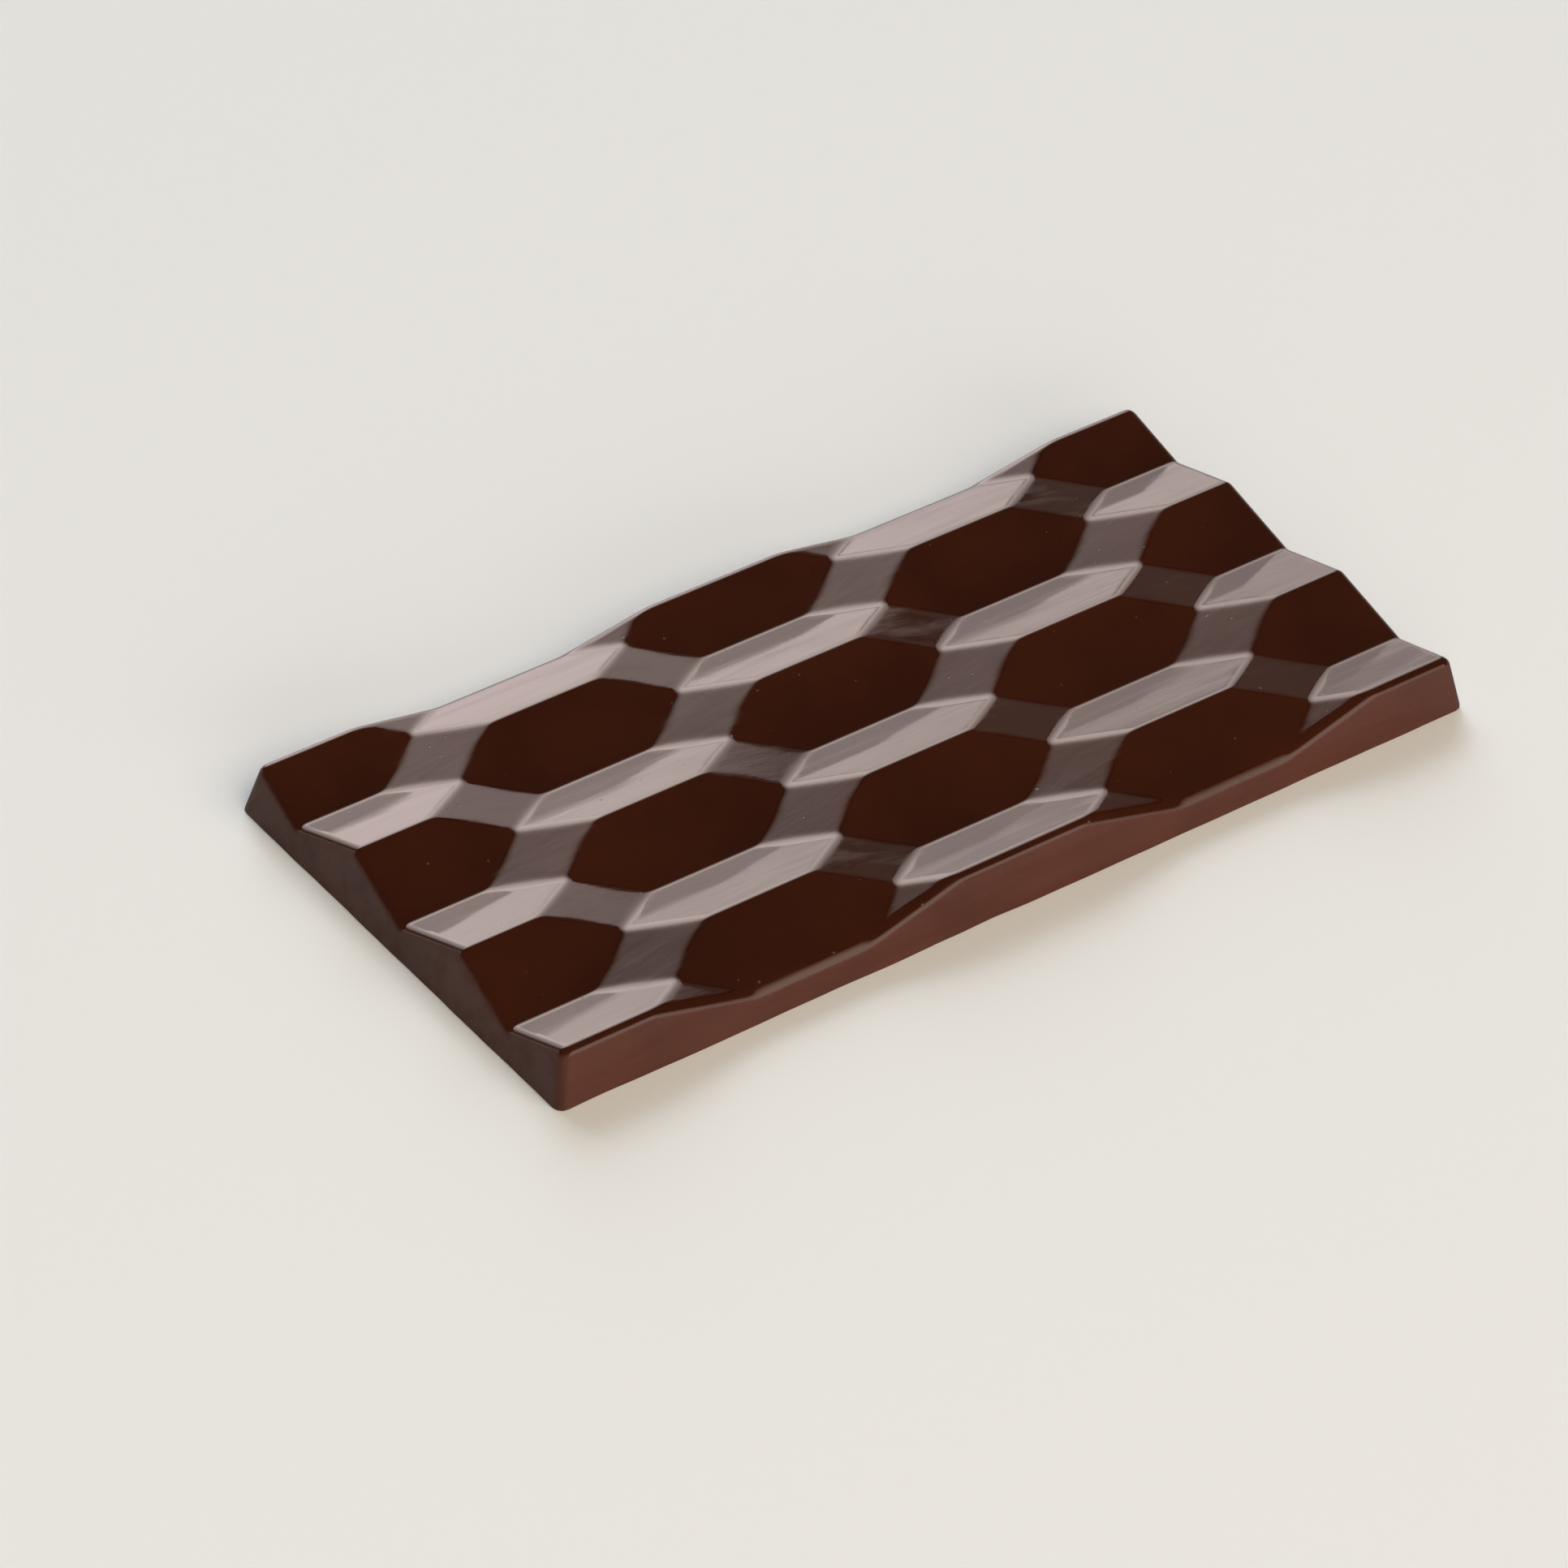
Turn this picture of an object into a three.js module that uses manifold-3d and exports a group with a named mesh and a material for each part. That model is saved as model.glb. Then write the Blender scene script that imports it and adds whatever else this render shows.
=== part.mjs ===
// A moulded bar of dark chocolate: one solid slab with drafted sides, whose top
// is a lattice of short ridges and valleys joined by flat facets.
//
// Frame: millimetres, +Z up, origin at the centre of the flat base, +X along the
// bar's length, +Y across it.
//
// The relief is worked out on a lattice of columns (along X) and levels (along Y).
// At every crossing lies a short straight segment parallel to X. Where column +
// level is even it is a ridge at the full height, where it is odd it is the floor
// of a valley, so ridges and valleys alternate like the joints of brickwork. Half
// way between four neighbouring segments is a point at half depth. Two kinds of
// planar face join them:
//   - a six-sided slope between the ridge and the valley that follow each other
//     across the bar, and
//   - a slanted parallelogram between the ridge and the valley that are neighbours
//     along the bar.
import * as THREE from "three";
import { ConvexGeometry } from "three/addons/geometries/ConvexGeometry.js";
import { mergeVertices } from "three/addons/utils/BufferGeometryUtils.js";
import Module from "manifold-3d";

// ---- driving dimensions, mm ----
const LENGTH = 154.74; // base, along X
const WIDTH = 76.3; // base, along Y
const HEIGHT = 9.06; // base to ridge
const RELIEF = 4.39; // ridge to valley floor
const COLUMNS = 5; // crossings along X, the outer two cut by the ends
const LEVELS = 7; // crossings along Y
const COLUMN_PITCH = 35.92;
const LEVEL_PITCH = 12.565;
const SEGMENT_HALF = 8.49; // half the length of a ridge or valley floor
const LATTICE_X = 0.28; // lattice centre from the bar's centre
const LATTICE_Y = 0.26;
const DRAFT_LEFT = 0.219; // inset of each side for each mm of height
const DRAFT_RIGHT = 0.191;
const DRAFT_NEAR = 0.234;
const DRAFT_FAR = 0.234;
const CORNER_R = 1.5; // upright corners
const CORNER_STEPS = 8;
const EDGE_R = 1.0; // rounding between the sides and the relief
const OVERRUN = 1; // columns and levels built past the edge and cut off

// Chords of the edge rounding, in parts of EDGE_R: slope, and how far in from the
// side the chord leaves the facet.
const EDGE_CHORDS = [
  [0.39, 0.856],
  [0.984, 0.617],
  [2.372, 0.354],
];

// The four drafted sides: outward direction, half size at the base, and draft.
const SIDES = [
  [1, 0, LENGTH / 2, DRAFT_RIGHT],
  [-1, 0, LENGTH / 2, DRAFT_LEFT],
  [0, 1, WIDTH / 2, DRAFT_FAR],
  [0, -1, WIDTH / 2, DRAFT_NEAR],
];

// ---- lattice ----
const columnX = (i) => (i - (COLUMNS - 1) / 2) * COLUMN_PITCH + LATTICE_X;
const levelY = (k) => LATTICE_Y - (k - (LEVELS - 1) / 2) * LEVEL_PITCH;
const isRidge = (i, k) => (i + k) % 2 === 0;
const segmentEnd = (i, k, side) =>
  new THREE.Vector3(
    columnX(i) + side * SEGMENT_HALF,
    levelY(k),
    isRidge(i, k) ? HEIGHT : HEIGHT - RELIEF,
  );
const midPoint = (i, k) =>
  new THREE.Vector3(columnX(i), levelY(k), HEIGHT - RELIEF / 2);

// Every planar facet of the relief, counter-clockwise from above.
function facets() {
  const list = [];
  for (let i = -OVERRUN; i < COLUMNS + OVERRUN; i++)
    for (let k = -OVERRUN; k < LEVELS + OVERRUN; k++) {
      list.push([
        segmentEnd(i, k, -1),
        midPoint(i - 0.5, k + 0.5),
        segmentEnd(i, k + 1, -1),
        segmentEnd(i, k + 1, 1),
        midPoint(i + 0.5, k + 0.5),
        segmentEnd(i, k, 1),
      ]);
      list.push([
        segmentEnd(i, k, 1),
        midPoint(i + 0.5, k + 0.5),
        segmentEnd(i + 1, k, -1),
        midPoint(i + 0.5, k - 0.5),
      ]);
    }
  return list;
}

// ---- solids ----
const wasm = await Module();
wasm.setup();

function solid(geometry) {
  const bare = geometry.clone();
  bare.deleteAttribute("normal");
  bare.deleteAttribute("uv");
  const merged = mergeVertices(bare, 1e-4);
  return new wasm.Manifold(
    new wasm.Mesh({
      numProp: 3,
      vertProperties: new Float32Array(merged.attributes.position.array),
      triVerts: new Uint32Array(merged.index.array),
    }),
  );
}

// A block with a flat base whose top is the lattice of facets, with each corner's
// height given by heightAt. A heightAt that is linear in x, y and z keeps every
// facet planar.
function reliefBlock(heightAt) {
  const position = [];
  const borders = new Map();
  const key = (p) => p.x.toFixed(3) + "," + p.y.toFixed(3);
  const put = (a, b, c) => {
    for (const p of [a, b, c]) position.push(p.x, p.y, p.z);
  };
  for (const facet of facets()) {
    const top = facet.map(
      (p) => new THREE.Vector3(p.x, p.y, heightAt(p.x, p.y, p.z)),
    );
    const base = facet.map((p) => new THREE.Vector3(p.x, p.y, 0));
    for (let n = 1; n + 1 < facet.length; n++) {
      put(top[0], top[n], top[n + 1]);
      put(base[0], base[n + 1], base[n]);
    }
    facet.forEach((p, n) => {
      const q = facet[(n + 1) % facet.length];
      const back = key(q) + ">" + key(p);
      if (borders.has(back)) borders.delete(back);
      else
        borders.set(key(p) + ">" + key(q), [
          top[n],
          top[(n + 1) % facet.length],
          base[n],
          base[(n + 1) % facet.length],
        ]);
    });
  }
  for (const [ta, tb, ba, bb] of borders.values()) {
    put(ta, ba, bb);
    put(ta, bb, tb);
  }
  const geometry = new THREE.BufferGeometry();
  geometry.setAttribute(
    "position",
    new THREE.Float32BufferAttribute(position, 3),
  );
  return solid(geometry);
}

// The height of a chord of the edge rounding over a point of the relief: the facet
// lowered in step with how close the point is to a drafted side.
function chordHeight([nx, ny, half, draft], [slope, reach]) {
  const c = reach * EDGE_R;
  return (x, y, z) =>
    (z - slope * (c - half + nx * x + ny * y)) / (1 + slope * draft);
}

// The drafted slab: the hull of a rounded rectangle at the base and the smaller
// one, with the same corner radius, above the ridges.
function outlinePoints(z) {
  const left = -LENGTH / 2 + DRAFT_LEFT * z;
  const right = LENGTH / 2 - DRAFT_RIGHT * z;
  const near = -WIDTH / 2 + DRAFT_NEAR * z;
  const far = WIDTH / 2 - DRAFT_FAR * z;
  const r = CORNER_R;
  const shape = new THREE.Shape();
  shape.moveTo(right, near + r);
  shape.absarc(right - r, far - r, r, 0, Math.PI / 2, false);
  shape.absarc(left + r, far - r, r, Math.PI / 2, Math.PI, false);
  shape.absarc(left + r, near + r, r, Math.PI, Math.PI * 1.5, false);
  shape.absarc(right - r, near + r, r, Math.PI * 1.5, Math.PI * 2, false);
  return shape
    .getPoints(CORNER_STEPS)
    .map((p) => new THREE.Vector3(p.x, p.y, z));
}
function draftedSlab() {
  const top = HEIGHT + 2;
  return solid(new ConvexGeometry([...outlinePoints(0), ...outlinePoints(top)]));
}

let bar = draftedSlab().intersect(reliefBlock((x, y, z) => z));
for (const side of SIDES)
  for (const chord of EDGE_CHORDS)
    bar = bar.intersect(reliefBlock(chordHeight(side, chord)));

function toGeometry(manifold) {
  const mesh = manifold.getMesh();
  const geometry = new THREE.BufferGeometry();
  const position = new Float32Array(mesh.numVert * 3);
  for (let n = 0; n < mesh.numVert; n++)
    position.set(
      mesh.vertProperties.subarray(n * mesh.numProp, n * mesh.numProp + 3),
      n * 3,
    );
  geometry.setAttribute("position", new THREE.BufferAttribute(position, 3));
  geometry.setIndex(new THREE.BufferAttribute(mesh.triVerts, 1));
  geometry.computeVertexNormals();
  return geometry;
}

// ---- scene graph ----
const darkChocolate = new THREE.MeshStandardMaterial({
  name: "dark_chocolate",
  color: new THREE.Color(0x3a1a12),
  roughness: 0.32,
  metalness: 0.0,
});

const chocolateBar = new THREE.Mesh(toGeometry(bar), darkChocolate);
chocolateBar.name = "chocolate_bar";

const part = new THREE.Group();
part.name = "moulded_chocolate_bar";
part.add(chocolateBar);

export default part;
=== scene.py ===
"""A moulded bar of dark chocolate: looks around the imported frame.

The bar is one piece. Its faceted top is a lattice of ridges and valleys with softened creases, cut off by four
drafted walls and rounded over at the outline. All shape functions work in millimetres in the frame of the CAD part
(origin at the centre of the base, +X along the bar, +Z up); the mesh is written in metres.
"""

import bpy
import numpy as np
from mathutils import Matrix, Vector


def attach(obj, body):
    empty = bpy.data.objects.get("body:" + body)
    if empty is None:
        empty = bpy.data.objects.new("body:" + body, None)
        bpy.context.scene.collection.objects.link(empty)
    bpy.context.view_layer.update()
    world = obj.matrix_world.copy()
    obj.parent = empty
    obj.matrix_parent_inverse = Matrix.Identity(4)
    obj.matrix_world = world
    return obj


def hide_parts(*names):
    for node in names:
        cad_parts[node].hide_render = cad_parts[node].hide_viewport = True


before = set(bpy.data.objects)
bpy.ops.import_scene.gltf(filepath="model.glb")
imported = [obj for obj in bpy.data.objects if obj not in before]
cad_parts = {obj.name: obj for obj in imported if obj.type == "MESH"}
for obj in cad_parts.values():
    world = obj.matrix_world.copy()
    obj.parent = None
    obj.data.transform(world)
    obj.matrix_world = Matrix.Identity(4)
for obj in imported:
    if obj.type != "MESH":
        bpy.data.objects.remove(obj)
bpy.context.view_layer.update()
MM = 0.001

# ---------------------------------------------------------------- sizes (mm)
HEIGHT = 9.06            # base to ridge
RELIEF = 4.39            # ridge to valley
COLUMN_PITCH = 35.92     # along X, from one column of hexagons to the next
LEVEL_PITCH = 12.565      # across Y, from a ridge to the next valley
SEGMENT_HALF = 8.49      # half the length of a straight ridge
LATTICE_X, LATTICE_Y = 0.28, 0.26
WALL_LEFT, WALL_RIGHT = -77.37, 77.37
WALL_NEAR, WALL_FAR = -38.15, 38.15
DRAFT_LEFT, DRAFT_RIGHT, DRAFT_NEAR, DRAFT_FAR = 0.219, 0.191, 0.234, 0.234
CORNER_R = 1.49          # upright corners
EDGE_R = 1.35            # rounding of the top outline
BASE_R = 0.25            # rounding of the bottom outline
RIDGE_SOFT, VALLEY_SOFT = 0.26, 0.30       # softening of the creases along ridges and valleys
FLANK_SOFT = 0.28, 0.38, 0.10    # and of the slanting convex creases: at their ends, and how much more at their middle
                                 # on the near and on the far side of the ridge
FLANK_HOLLOW = 0.28, 0.18, 0.34  # the same for the concave creases, on the near and far side of the valley
STEP = 0.40              # spacing of the top mesh
MARGIN = 2.3             # how far the top mesh stays inside the rounding


# ---------------------------------------------------------------- relief
def facet_height(x, y):
    """Height of the sharp relief: hexagons that slope from ridge to valley, with slanting links between the columns."""
    u = (x - LATTICE_X) / COLUMN_PITCH + 2.0
    v = (LATTICE_Y - y) / LEVEL_PITCH + 3.0
    i = np.round(u)
    k = np.floor(v)
    t = v - k
    dx = (u - i) * COLUMN_PITCH

    def node(level):
        return np.where(np.mod(i + level, 2) == 0, HEIGHT, HEIGHT - RELIEF)

    half = SEGMENT_HALF + (COLUMN_PITCH / 2 - SEGMENT_HALF) * (1 - np.abs(2 * t - 1))
    hexagon = node(k) + (node(k + 1) - node(k)) * t
    z0 = node(np.where(t < 0.5, k, k + 1))
    z1 = (2 * HEIGHT - RELIEF) - z0
    s = (np.abs(dx) - SEGMENT_HALF) / (COLUMN_PITCH - 2 * SEGMENT_HALF)
    return np.where(np.abs(dx) <= half, hexagon, z0 + (z1 - z0) * s)


def erf(t):
    """Error function, good to about 1e-4 (Abramowitz and Stegun 7.1.25)."""
    a = np.abs(t)
    k = 1 / (1 + 0.47047 * a)
    return np.sign(t) * (1 - k * (0.3480242 + k * (-0.0958798 + k * 0.7478556)) * np.exp(-a * a))


def flank_rounding(x, y):
    """Rounding of the creases that run slantwise from the ends of the ridges and valleys: what a blur across the convex
    ones (FLANK_SOFT) and the concave ones (FLANK_HOLLOW) would add to the sharp relief."""
    u = (x - LATTICE_X) / COLUMN_PITCH + 2.0
    v = (LATTICE_Y - y) / LEVEL_PITCH + 3.0
    run = COLUMN_PITCH - 2 * SEGMENT_HALF
    k = np.round(v)
    near = v > k
    t = np.abs(v - k)
    s = (np.abs(u - k - 2 * np.round((u - k) / 2)) * COLUMN_PITCH - SEGMENT_HALF) / run

    def bump(d, along, soft):
        d = RELIEF * d
        spread = (soft[0] + np.where(near, soft[1], soft[2]) * np.sin(np.pi * along) ** 2) * RELIEF * np.hypot(1 / LEVEL_PITCH, 1 / run)
        return 0.5 * (d * erf(d / (spread * 1.41421)) + spread * 0.797885 * np.exp(-0.5 * (d / spread) ** 2) - np.abs(d))

    return bump(1 - s - t, 1 - s + t, FLANK_HOLLOW) - bump(s - t, s + t, FLANK_SOFT)


def blurred(a, sigma):
    """Gaussian blur of a grid, sigma in cells."""
    r = int(np.ceil(3 * sigma))
    w = np.exp(-0.5 * (np.arange(-r, r + 1) / sigma) ** 2)
    w /= w.sum()
    for axis in (0, 1):
        pad = [(0, 0), (0, 0)]
        pad[axis] = (r, r)
        p = np.pad(a, pad, mode="edge")
        n = a.shape[axis]
        a = sum(wi * (p[j:j + n] if axis == 0 else p[:, j:j + n]) for j, wi in enumerate(w))
    return a


CELL = 0.1
GX = np.arange(-80.0, 80.0 + CELL / 2, CELL)
GY = np.arange(-41.0, 41.0 + CELL / 2, CELL)


def swell(seed, length, cells=16):
    """Smooth unevenness of about unit height, with bumps about `length` mm across, on the relief's grid."""
    rng = np.random.default_rng(seed)
    nx, ny = int(160 / length) + 4, int(82 / length) + 4
    coarse = rng.standard_normal((nx, ny))
    fx = (GX + 80) / length + 1
    fy = (GY + 41) / length + 1
    ix, iy = fx.astype(int), fy.astype(int)
    tx, ty = fx - ix, fy - iy
    sx, sy = tx * tx * (3 - 2 * tx), ty * ty * (3 - 2 * ty)
    a = coarse[np.ix_(ix, iy)]
    b = coarse[np.ix_(ix + 1, iy)]
    c = coarse[np.ix_(ix, iy + 1)]
    d = coarse[np.ix_(ix + 1, iy + 1)]
    sx, sy = sx[:, None], sy[None, :]
    return (a * (1 - sx) + b * sx) * (1 - sy) + (c * (1 - sx) + d * sx) * sy


def relief_grid():
    X, Y = np.meshgrid(GX, GY, indexing="ij")
    raw = facet_height(X, Y) + flank_rounding(X, Y)
    ridge = np.minimum(blurred(raw, RIDGE_SOFT / CELL) - raw, 0)
    valley = np.maximum(blurred(raw, VALLEY_SOFT / CELL) - raw, 0)
    h = raw + ridge + valley
    h = blurred(h, 0.09 / CELL)
    h = h + 0.010 * blurred(swell(11, 14.0), 12) + 0.004 * blurred(swell(12, 6.0), 6)
    return h


H = relief_grid()
HX = np.gradient(H, CELL, axis=0)
HY = np.gradient(H, CELL, axis=1)


def at(grid, x, y):
    fx = np.clip((x - GX[0]) / CELL, 0, len(GX) - 1.001)
    fy = np.clip((y - GY[0]) / CELL, 0, len(GY) - 1.001)
    i, j = fx.astype(int), fy.astype(int)
    a, b = fx - i, fy - j
    return (grid[i, j] * (1 - a) + grid[i + 1, j] * a) * (1 - b) + (grid[i, j + 1] * (1 - a) + grid[i + 1, j + 1] * a) * b


# ---------------------------------------------------------------- outline
def wave(s, parts):
    return sum(a * np.sin(2 * np.pi * s / length + phase) for a, length, phase in parts)


NEAR_DIPS = ((-6.0, 4.5, 0.16), (-14.0, 2.5, 0.05), (-32.0, 3.0, 0.09), (-69.0, 4.5, 0.12),
             (19.0, 9.0, -0.055), (-22.5, 4.0, -0.045), (-50.0, 5.0, -0.06))


def outline_offset(x, y, z):
    """How far the wall stands out (+) or in (-) of its plane: the foot of a moulded bar isn't quite straight."""
    foot = np.exp(-np.maximum(z, 0) / 1.6)
    near = sum(-d * np.exp(-((x - c) / w) ** 2) for c, w, d in NEAR_DIPS) + wave(x, ((0.03, 31.0, 0.4), (0.02, 11.0, 1.9)))
    others = wave(x + 1.7 * y, ((0.03, 37.0, 1.0), (0.02, 13.0, 0.2)))
    side = np.clip((WALL_NEAR + 4 - y) / 4, 0, 1)
    return foot * (near * side + others * (1 - side))


def wall(x, y, z):
    """Distance outside the drafted walls (negative inside)."""
    x0, x1 = WALL_LEFT + DRAFT_LEFT * z, WALL_RIGHT - DRAFT_RIGHT * z
    y0, y1 = WALL_NEAR + DRAFT_NEAR * z, WALL_FAR - DRAFT_FAR * z
    qx = np.abs(x - (x0 + x1) / 2) - (x1 - x0) / 2 + CORNER_R
    qy = np.abs(y - (y0 + y1) / 2) - (y1 - y0) / 2 + CORNER_R
    d = np.hypot(np.maximum(qx, 0), np.maximum(qy, 0)) + np.minimum(np.maximum(qx, qy), 0) - CORNER_R
    return (d - outline_offset(x, y, z)) / np.sqrt(1 + 0.22 ** 2)


def base_height(x, y):
    """The underside was the open side of the mould: a hair hollow and wavy inside a flat rim."""
    inside = np.clip((np.minimum(77 - np.abs(x), 38 - np.abs(y)) - 1.0) / 5.0, 0, 1)
    inside = inside * inside * (3 - 2 * inside)
    return inside * (0.045 + 0.02 * np.sin(x / 9.0 + 0.6) * np.cos(y / 7.0) + 0.012 * np.sin(x / 3.7 + y / 5.1))


def round_max(a, b, r):
    return np.minimum(-r, np.maximum(a, b)) + np.hypot(np.maximum(r + a, 0), np.maximum(r + b, 0))


def solid(x, y, z):
    """Negative inside the bar, zero on its surface."""
    top = (z - at(H, x, y)) / np.sqrt(1 + at(HX, x, y) ** 2 + at(HY, x, y) ** 2)
    return round_max(round_max(wall(x, y, z), top, EDGE_R), base_height(x, y) - z, BASE_R)


def surface(ox, oy, oz, dx, dy, dz, reach):
    """The surface point on each ray from an inside point, by bisection."""
    lo, hi = np.zeros_like(ox), np.full_like(ox, reach)
    for _ in range(22):
        m = (lo + hi) / 2
        inside = solid(ox + dx * m, oy + dy * m, oz + dz * m) < 0
        lo, hi = np.where(inside, m, lo), np.where(inside, hi, m)
    m = (lo + hi) / 2
    return np.c_[ox + dx * m, oy + dy * m, oz + dz * m]


# ---------------------------------------------------------------- mesh
def graded(lo, hi, step, fine, centres, reach):
    """Coordinates from lo to hi, closer together near the given centres."""
    x = np.linspace(lo, hi, 4001)
    mid = (x[:-1] + x[1:]) / 2
    near = np.min(np.abs(mid[:, None] - np.array(centres)[None, :]), axis=1) < reach
    cum = np.concatenate([[0], np.cumsum(np.where(near, 1 / fine, 1 / step) * (hi - lo) / 4000)])
    n = int(np.ceil(cum[-1]))
    return np.interp(np.linspace(0, cum[-1], n + 1), cum, x)


def bar_mesh(nfan=10, nwall=4, nbase=3, ncorner=9):
    z_mid = HEIGHT - RELIEF / 2
    hx = WALL_RIGHT - 0.22 * z_mid - MARGIN
    hy = WALL_FAR - 0.23 * z_mid - MARGIN
    levels = [LATTICE_Y - (k - 3) * LEVEL_PITCH for k in range(-1, 8)]
    xs = np.linspace(-hx, hx, int(2 * hx / STEP) + 1)
    ys = graded(-hy, hy, STEP * 1.1, STEP * 0.5, levels, 0.7)
    nx, ny = len(xs), len(ys)
    X, Y = np.meshgrid(xs, ys, indexing="ij")
    points = [np.c_[X.ravel(), Y.ravel(), at(H, X.ravel(), Y.ravel())]]
    idx = np.arange(nx * ny).reshape(nx, ny)
    faces = [np.c_[idx[:-1, :-1].ravel(), idx[1:, :-1].ravel(), idx[1:, 1:].ravel(), idx[:-1, 1:].ravel()]]
    loop = []

    def side(ids, angle):
        loop.extend((i, np.radians(angle)) for i in ids)

    def corner(i, start):
        loop.extend((i, np.radians(start + 90.0 * k / ncorner)) for k in range(1, ncorner))

    side(idx[:, 0], -90)
    corner(idx[-1, 0], -90)
    side(idx[-1, :], 0)
    corner(idx[-1, -1], 0)
    side(idx[::-1, -1], 90)
    corner(idx[0, -1], 90)
    side(idx[0, ::-1], 180)
    corner(idx[0, 0], 180)
    first = np.array([i for i, _ in loop])
    angle = np.array([a for _, a in loop])
    n = len(first)
    cx, cy = np.cos(angle), np.sin(angle)
    sx, sy, zs = points[0][first, 0], points[0][first, 1], points[0][first, 2] - MARGIN
    rings = []
    for a in np.radians(np.linspace(90, 0, nfan + 1))[1:]:
        rings.append(surface(sx, sy, zs, cx * np.cos(a), cy * np.cos(a), np.full(n, np.sin(a)), 6.0))
    foot = BASE_R * 1.3
    for f in np.linspace(1, 0, nwall + 1)[1:]:
        rings.append(surface(sx, sy, foot + (zs - foot) * f, cx, cy, np.zeros(n), 6.0))
    ox, oy = rings[-1][:, 0] - cx * foot, rings[-1][:, 1] - cy * foot
    for a in np.radians(np.linspace(0, -90, nbase + 1))[1:]:
        rings.append(surface(ox, oy, np.full(n, foot), cx * np.cos(a), cy * np.cos(a), np.full(n, np.sin(a)), 3.0))
    last = rings[-1]
    for inset in (1.2, 3.0, 7.0, 14.0, 25.0):
        x = last[:, 0] * (1 - inset / 77.0)
        y = last[:, 1] * (1 - inset / 38.2)
        rings.append(np.c_[x, y, base_height(x, y)])
    rings[-1][:, 2] = rings[-1][:, 2].mean()
    tris = []
    prev, count = first, nx * ny
    for r in rings:
        cur = count + np.arange(n)
        a, b, c, d = prev, np.roll(prev, -1), np.roll(cur, -1), cur
        same = a == b
        faces.append(np.c_[a, d, c, b][~same])
        tris.append(np.c_[a, d, c][same])
        points.append(r)
        prev, count = cur, count + n
    cap = list(prev[::-1])
    return np.vstack(points), np.vstack(faces), np.vstack(tris), cap


def normals_of(p):
    e = 0.03
    x, y, z = p[:, 0], p[:, 1], p[:, 2]
    g = np.c_[solid(x + e, y, z) - solid(x - e, y, z), solid(x, y + e, z) - solid(x, y - e, z), solid(x, y, z + e) - solid(x, y, z - e)]
    return g / np.linalg.norm(g, axis=1)[:, None]


points, quads, tris, cap = bar_mesh()
mesh = bpy.data.meshes.new("moulded_bar")
mesh.from_pydata((points * MM).tolist(), [], quads.tolist() + tris.tolist() + [[int(i) for i in cap]])
mesh.validate()
for polygon in mesh.polygons:
    polygon.use_smooth = True
normals = normals_of(points)
mesh.normals_split_custom_set_from_vertices([tuple(v) for v in normals])
mesh.update()
bar = bpy.data.objects.new("moulded_bar", mesh)
bpy.context.scene.collection.objects.link(bar)


# ---------------------------------------------------------------- chocolate
class Nodes:
    """Short-hand for building a node tree."""

    def __init__(self, tree):
        self.tree = tree
        tree.nodes.clear()

    def add(self, kind, settings=None, **inputs):
        node = self.tree.nodes.new(kind)
        for k, v in (settings or {}).items():
            setattr(node, k, v)
        for k, v in inputs.items():
            self.set(node, k.replace("_", " "), v)
        return node

    def set(self, node, name, value):
        socket = node.inputs[int(name)] if str(name).isdigit() else node.inputs[name]
        if hasattr(value, "is_output"):
            self.tree.links.new(value, socket)
        else:
            socket.default_value = value

    def math(self, op, a, b=0.0, clamp=False):
        n = self.tree.nodes.new("ShaderNodeMath")
        n.operation, n.use_clamp = op, clamp
        self.set(n, "0", a)
        self.set(n, "1", b)
        return n.outputs[0]

    def ramp(self, value, lo, hi, out_lo=0.0, out_hi=1.0, smooth=True):
        n = self.tree.nodes.new("ShaderNodeMapRange")
        n.interpolation_type = "SMOOTHSTEP" if smooth else "LINEAR"
        for name, v in (("Value", value), ("From Min", lo), ("From Max", hi), ("To Min", out_lo), ("To Max", out_hi)):
            self.set(n, name, v)
        return n.outputs["Result"]

    def mapped(self, vector, scale, shift=(0, 0, 0)):
        n = self.tree.nodes.new("ShaderNodeMapping")
        self.set(n, "Vector", vector)
        self.set(n, "Scale", scale)
        self.set(n, "Location", shift)
        return n.outputs[0]

    def noise(self, vector, scale, detail=2.0, rough=0.5, **kw):
        n = self.tree.nodes.new("ShaderNodeTexNoise")
        self.set(n, "Vector", vector)
        self.set(n, "Scale", scale)
        self.set(n, "Detail", detail)
        self.set(n, "Roughness", rough)
        for k, v in kw.items():
            self.set(n, k, v)
        return n.outputs["Fac"]


CHOCOLATE_DARK = (0.0277, 0.0048, 0.0007)
CHOCOLATE_LIGHT = (0.0354, 0.0066, 0.0012)
# how much lighter the sides are painted: a little scuffing, mostly painted light
SIDE_SCUFF_AND_PAINTED_LIGHT = (1.71, 1.84, 3.30)


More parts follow.
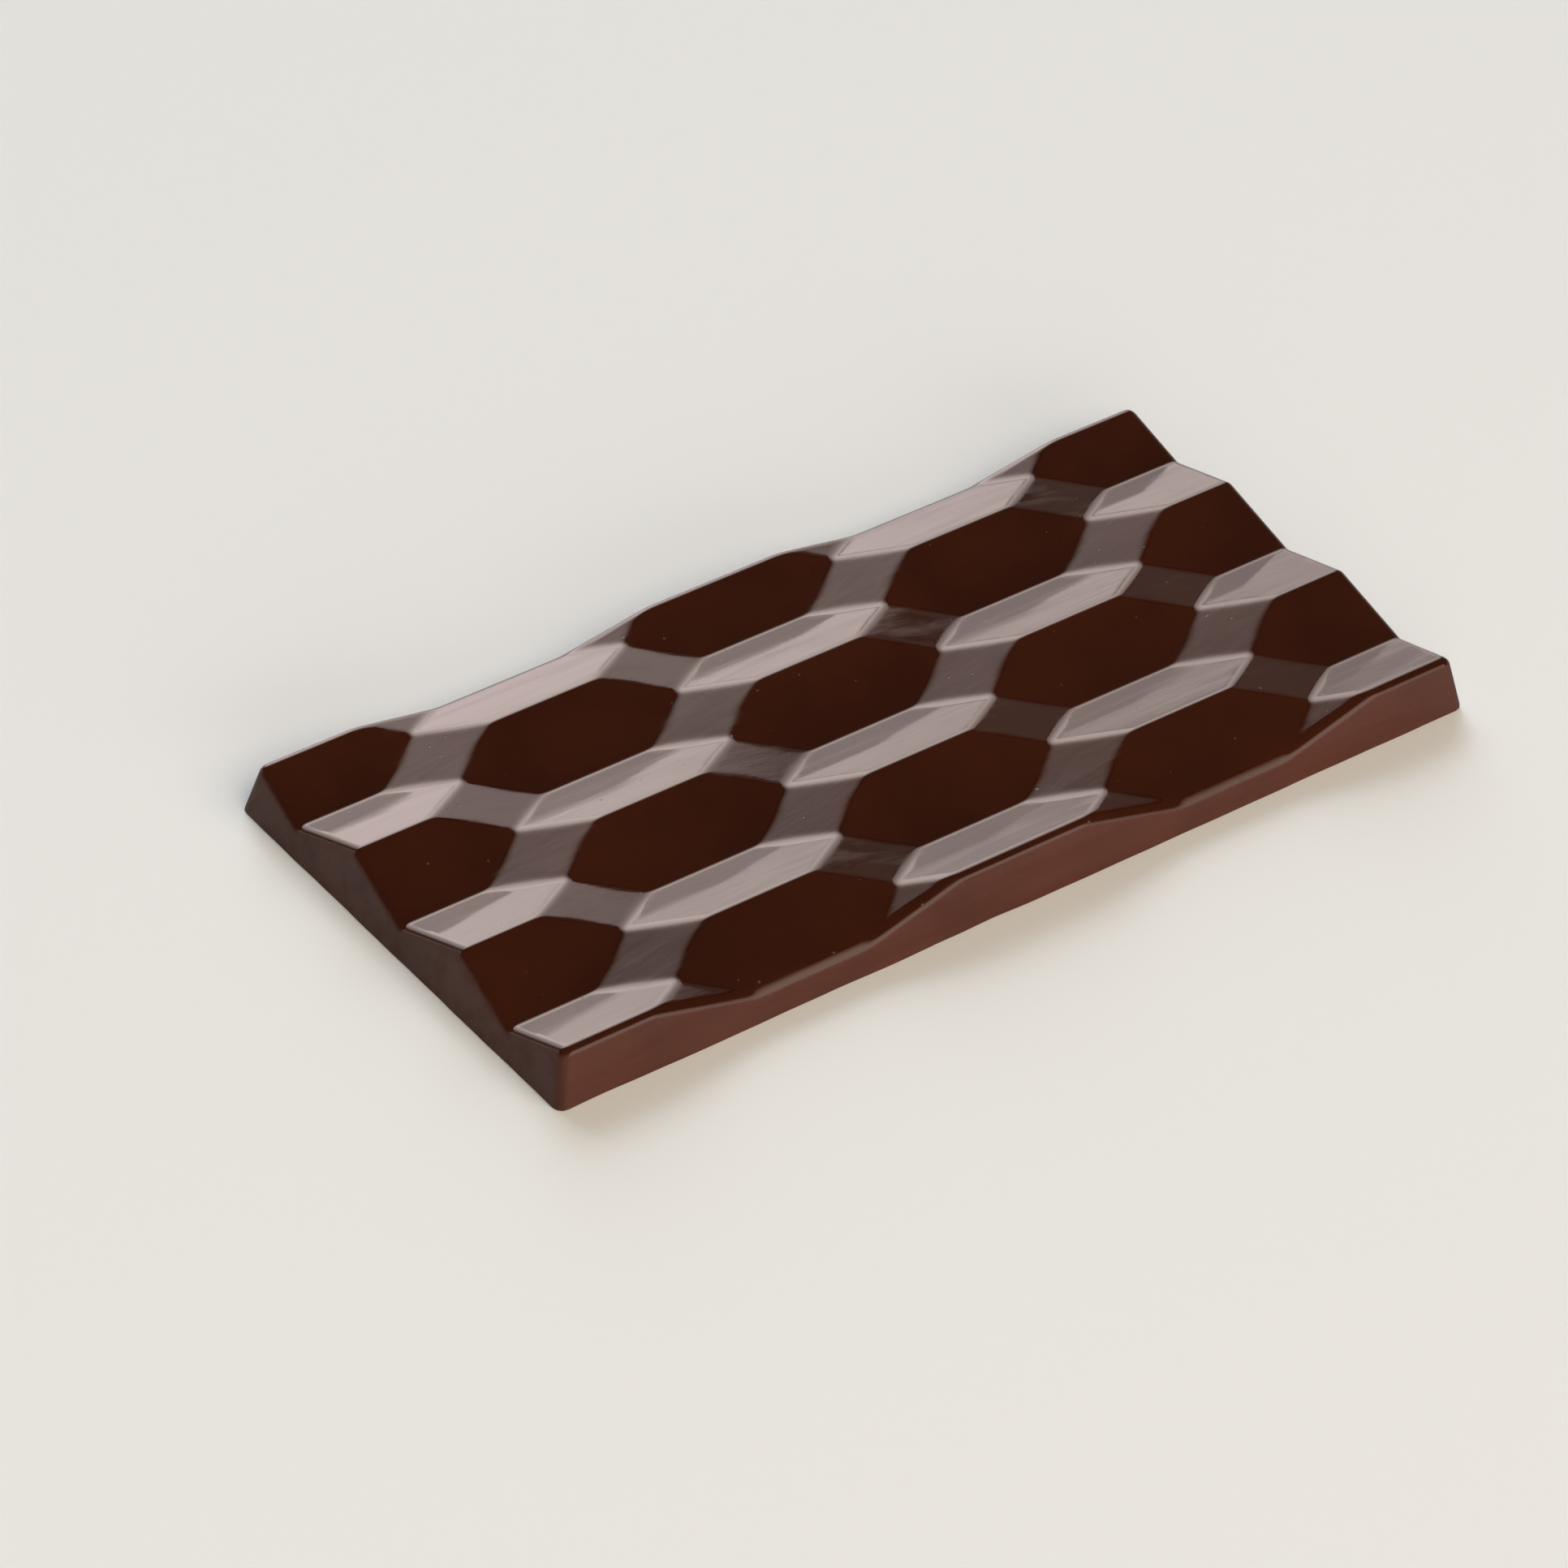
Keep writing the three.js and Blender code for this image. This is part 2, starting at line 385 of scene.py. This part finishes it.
def chocolate():
    mat = bpy.data.materials.new("dark_chocolate")
    mat.use_nodes = True
    n = Nodes(mat.node_tree)
    where = n.add("ShaderNodeTexCoord").outputs["Object"]
    mm = n.mapped(where, (1000, 1000, 1000))                   # millimetres

    # colour: broad clouding, fine cocoa mottling and sparse pale specks
    cloud = n.noise(mm, 0.055, 3.0, 0.55)
    fine = n.noise(mm, 1.9, 3.0, 0.6)
    tone = n.math("ADD", n.math("MULTIPLY", cloud, 0.9), n.math("MULTIPLY", fine, 0.1))
    tone = n.ramp(tone, 0.36, 0.64)
    base = n.add("ShaderNodeMix", {"data_type": "RGBA"})
    n.set(base, "Factor", tone)
    base.inputs["A"].default_value = (*CHOCOLATE_DARK, 1)
    base.inputs["B"].default_value = (*CHOCOLATE_LIGHT, 1)

    # the sides scrape out of the mould: a little duller and lighter; their colour is also painted much lighter, as
    # painted light standing in for the light from the front, less so on the short ends
    facing = n.add("ShaderNodeSeparateXYZ")
    n.tree.links.new(n.add("ShaderNodeTexCoord").outputs["Normal"], facing.inputs[0])
    long_side = n.ramp(facing.outputs["Z"], 0.24, 0.58, 1.0, 0.0)
    short_side = n.ramp(facing.outputs["Z"], 0.30, 0.88, 1.0, 0.0)
    at_end = n.ramp(n.math("ABSOLUTE", facing.outputs["X"]), 0.18, 0.40)
    side = n.math("ADD", n.math("MULTIPLY", long_side, n.math("SUBTRACT", 1.0, at_end)), n.math("MULTIPLY", short_side, at_end))
    scuffed_and_lit = n.add("ShaderNodeMix", {"data_type": "RGBA", "blend_type": "MULTIPLY"})
    # the short ends get less of this painted light than the long sides
    n.set(scuffed_and_lit, "Factor", n.math("MULTIPLY", side, n.math("SUBTRACT", 1.0, n.math("MULTIPLY", at_end, 0.53))))
    n.tree.links.new(base.outputs["Result"], scuffed_and_lit.inputs["A"])
    scuffed_and_lit.inputs["B"].default_value = (*SIDE_SCUFF_AND_PAINTED_LIGHT, 1)

    dots = n.add("ShaderNodeTexVoronoi", {"feature": "F1"}, Vector=mm, Scale=0.42, Randomness=1.0)
    pick = n.add("ShaderNodeSeparateColor", Color=dots.outputs["Color"])
    chosen = n.math("GREATER_THAN", pick.outputs["Red"], 0.62)
    size = n.ramp(pick.outputs["Green"], 0.0, 1.0, 0.035, 0.105, smooth=False)
    speck = n.math("MULTIPLY", n.ramp(n.math("DIVIDE", dots.outputs["Distance"], size), 0.6, 1.2, 1.0, 0.0), chosen)
    colour = n.add("ShaderNodeMix", {"data_type": "RGBA"})
    n.set(colour, "Factor", n.math("MULTIPLY", speck, 0.55))
    n.tree.links.new(scuffed_and_lit.outputs["Result"], colour.inputs["A"])
    colour.inputs["B"].default_value = (0.105, 0.050, 0.032, 1)

    # gloss: polished by the mould, a little duller in soft streaks that run along the bar
    streaky = n.mapped(mm, (0.035, 0.36, 0.36))
    streak = n.noise(streaky, 1.0, 4.0, 0.6, Distortion=0.25)
    grain = n.noise(mm, 3.4, 2.0, 0.5)
    rough = n.math("ADD", n.ramp(streak, 0.42, 0.75, 0.045, 0.19), n.math("MULTIPLY", grain, 0.02))
    rough = n.math("ADD", rough, n.math("MULTIPLY", speck, 0.25))
    rough = n.math("ADD", rough, n.math("MULTIPLY", side, 0.52))

    # surface: streaks and orange peel of a few thousandths of a millimetre, and pinholes
    peel = n.noise(mm, 0.75, 2.0, 0.5)
    lift = n.math("ADD", n.math("MULTIPLY", streak, 0.0092), n.math("MULTIPLY", peel, 0.0022))
    lift = n.math("ADD", lift, n.math("MULTIPLY", grain, 0.0004))
    lift = n.math("SUBTRACT", lift, n.math("MULTIPLY", speck, 0.012))
    bump = n.add("ShaderNodeBump", Strength=1.0, Distance=MM, Height=lift)

    shader = n.add("ShaderNodeBsdfPrincipled")
    n.tree.links.new(colour.outputs["Result"], shader.inputs["Base Color"])
    n.tree.links.new(rough, shader.inputs["Roughness"])
    n.tree.links.new(bump.outputs["Normal"], shader.inputs["Normal"])
    shader.inputs["IOR"].default_value = 1.5
    out = n.add("ShaderNodeOutputMaterial")
    n.tree.links.new(shader.outputs[0], out.inputs["Surface"])
    return mat


bar.data.materials.append(chocolate())
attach(bar, "root")
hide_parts("chocolate_bar")


# ---------------------------------------------------------------- floor
def pale_floor():
    mat = bpy.data.materials.new("pale_board")
    mat.use_nodes = True
    n = Nodes(mat.node_tree)
    shader = n.add("ShaderNodeBsdfPrincipled")
    shader.inputs["Base Color"].default_value = (0.800, 0.798, 0.795, 1)
    shader.inputs["Roughness"].default_value = 0.75
    shader.inputs["Specular IOR Level"].default_value = 0.25
    out = n.add("ShaderNodeOutputMaterial")
    n.tree.links.new(shader.outputs[0], out.inputs["Surface"])
    return mat


floor_mesh = bpy.data.meshes.new("floor")
floor_mesh.from_pydata([(-4, -4, 0), (4, -4, 0), (4, 4, 0), (-4, 4, 0)], [], [(0, 1, 2, 3)])
floor = bpy.data.objects.new("floor", floor_mesh)
floor.data.materials.append(pale_floor())
bpy.context.scene.collection.objects.link(floor)


# ---------------------------------------------------------------- light
def card(name, azimuth, distance, across, up, radiance, colour, soft=(0, 0, 0, 0), slope=(0.0, 0.0, 0.0, 0.0, 0.0), dip=None,
         corner=None, glossy=True, diffuse=True, tilt=0.0):
    """An upright glowing card that faces the bar. `azimuth` turns from +Y towards +X. `across` (h) and `up` (v) are its
    extent as fractions of the distance; `soft` are the widths of its fading left, right, lower and upper edges, in the
    same unit; `slope` holds the factors of h, v, hh, vv and hv in the logarithm of its brightness, and `dip` a darker
    level band: depth, the h from which it shows, its v and its width. `corner` is a darker lower left corner: depth, the
    h where it is full and where it ends, and the same for v."""
    a = np.radians(azimuth)
    ahead = Vector((np.sin(a), np.cos(a), 0))
    right = Vector((np.cos(a), -np.sin(a), 0))
    rise = Vector((0, 0, 1))
    t = np.radians(tilt)
    if tilt:
        ahead, rise = (np.cos(t) * ahead + np.sin(t) * rise), (np.cos(t) * rise - np.sin(t) * ahead)
    corners = [(across[0], up[0]), (across[1], up[0]), (across[1], up[1]), (across[0], up[1])]
    m = bpy.data.meshes.new(name)
    m.from_pydata([distance * (ahead + right * h + rise * v) for h, v in corners], [], [(0, 1, 2, 3)])
    uv = m.uv_layers.new(name="place")
    for i, (h, v) in enumerate(corners):
        uv.data[i].uv = (h, v)
    o = bpy.data.objects.new(name, m)
    mat = bpy.data.materials.new(name)
    mat.use_nodes = True
    n = Nodes(mat.node_tree)
    place = n.add("ShaderNodeSeparateXYZ")
    n.tree.links.new(n.add("ShaderNodeUVMap", {"uv_map": "place"}).outputs[0], place.inputs[0])
    h, v = place.outputs["X"], place.outputs["Y"]
    log = 0.0
    for factor, a, b in zip(slope, (h, v, h, v, h), (1.0, 1.0, h, v, v)):
        if factor:
            log = n.math("ADD", n.math("MULTIPLY", n.math("MULTIPLY", a, b), factor), log)
    power = n.math("MULTIPLY", n.math("POWER", 2.718281828, log), radiance)
    if dip:
        depth, start, level, width = dip
        away = n.math("POWER", n.math("DIVIDE", n.math("SUBTRACT", v, level), width), 2.0)
        bell = n.math("POWER", 2.718281828, n.math("MULTIPLY", away, -1.0))
        shown = n.math("MULTIPLY", n.math("MULTIPLY", bell, n.ramp(h, start - 0.1, start + 0.1)), depth)
        power = n.math("MULTIPLY", power, n.math("SUBTRACT", 1.0, shown))
    if corner:
        depth, h0, h1, v0, v1 = corner
        shown = n.math("MULTIPLY", n.math("MULTIPLY", n.ramp(h, h0, h1, 1.0, 0.0), n.ramp(v, v0, v1, 1.0, 0.0)), depth)
        power = n.math("MULTIPLY", power, n.math("SUBTRACT", 1.0, shown))
    for value, edge, width in ((h, across[0], soft[0]), (v, up[0], soft[2])):
        if width:
            power = n.math("MULTIPLY", power, n.ramp(value, edge, edge + width))
    for value, edge, width in ((h, across[1], soft[1]), (v, up[1], soft[3])):
        if width:
            power = n.math("MULTIPLY", power, n.ramp(value, edge - width, edge, 1.0, 0.0))
    glow = n.add("ShaderNodeEmission", Color=(*colour, 1), Strength=power)
    out = n.add("ShaderNodeOutputMaterial")
    n.tree.links.new(glow.outputs[0], out.inputs["Surface"])
    m.materials.append(mat)
    bpy.context.scene.collection.objects.link(o)
    o.visible_camera = False
    o.visible_glossy, o.visible_diffuse = glossy, diffuse
    o.visible_shadow = False
    return o


WINDOW = dict(azimuth=30.0, distance=6.0, across=(-1.2, 0.358), up=(0.0, 1.649), soft=(0.85, 0.038, 0, 1.121),
              slope=(-2.321, 1.442, -2.268, -1.02, -0.396), dip=(0.535, -0.049, 0.132, 0.030))
card("window", radiance=2.66, colour=(1.0, 0.847, 0.805), corner=(0.62, -0.42, -0.05, 0.55, 0.95), diffuse=False, **WINDOW)
card("window_light", radiance=3.97, colour=(0.773, 0.888, 1.0), corner=(0.92, -0.42, -0.05, 0.55, 0.95), glossy=False, **WINDOW)
card("beside_window", 62.0, 7.5, (-0.45, 0.6), (0.0, 0.9), 0.23, (1.0, 0.88, 0.82), soft=(0, 0.4, 0, 0.5))
card("left_strip", -40.0, 3.0, (-0.35, 0.33), (0.08, 0.5), 1.0, (1.0, 0.75, 0.6), soft=(0.3, 0.03, 0.12, 0.1), diffuse=False)
card("front_strip", 150.0, 3.0, (-0.33, 0.7), (0.0, 1.05), 2.7, (1.0, 0.74, 0.62), soft=(0.31, 0.1, 0, 0.65), diffuse=False)
card("front_low", 195.0, 3.0, (-0.6, 0.6), (-0.16, 0.16), 5.57, (1.0, 0.948, 0.864), glossy=False, tilt=12)
card("front_fill", 180.0, 3.0, (-0.7, 0.7), (-0.3, 0.3), 3.35, (1.0, 0.865, 0.688), glossy=False, tilt=46)

world = bpy.data.worlds.new("room")
bpy.context.scene.world = world
world.use_nodes = True
w = Nodes(world.node_tree)
room = w.add("ShaderNodeBackground", Color=(1.0, 0.93, 0.86, 1), Strength=0.084)
seen = w.add("ShaderNodeBackground", Color=(0.80, 0.79, 0.77, 1), Strength=1.0)
which = w.add("ShaderNodeLightPath")
mix = w.add("ShaderNodeMixShader")
w.tree.links.new(which.outputs["Is Camera Ray"], mix.inputs[0])
w.tree.links.new(room.outputs[0], mix.inputs[1])
w.tree.links.new(seen.outputs[0], mix.inputs[2])
world_out = w.add("ShaderNodeOutputWorld")
w.tree.links.new(mix.outputs[0], world_out.inputs["Surface"])

# ---------------------------------------------------------------- camera
RIGHT = Vector((0.80607063, -0.59072473, 0.03597826))
DOWN = Vector((-0.34750815, -0.52164682, -0.77918077))
FORWARD = Vector((0.47904930, 0.61557200, -0.62576584))
camera_data = bpy.data.cameras.new("camera")
camera_data.sensor_fit = "HORIZONTAL"
camera_data.sensor_width = 36.0
camera_data.lens = 36.0 * 9042.362 / 1932.0
camera_data.clip_start, camera_data.clip_end = 0.05, 50.0
camera = bpy.data.objects.new("camera", camera_data)
turn = Matrix((RIGHT, -DOWN, -FORWARD)).transposed()
camera.matrix_world = Matrix.Translation((-0.49631, -0.62088, 0.63228)) @ turn.to_4x4()
bpy.context.scene.collection.objects.link(camera)
bpy.context.scene.camera = camera
bpy.context.scene.view_settings.view_transform = "Standard"
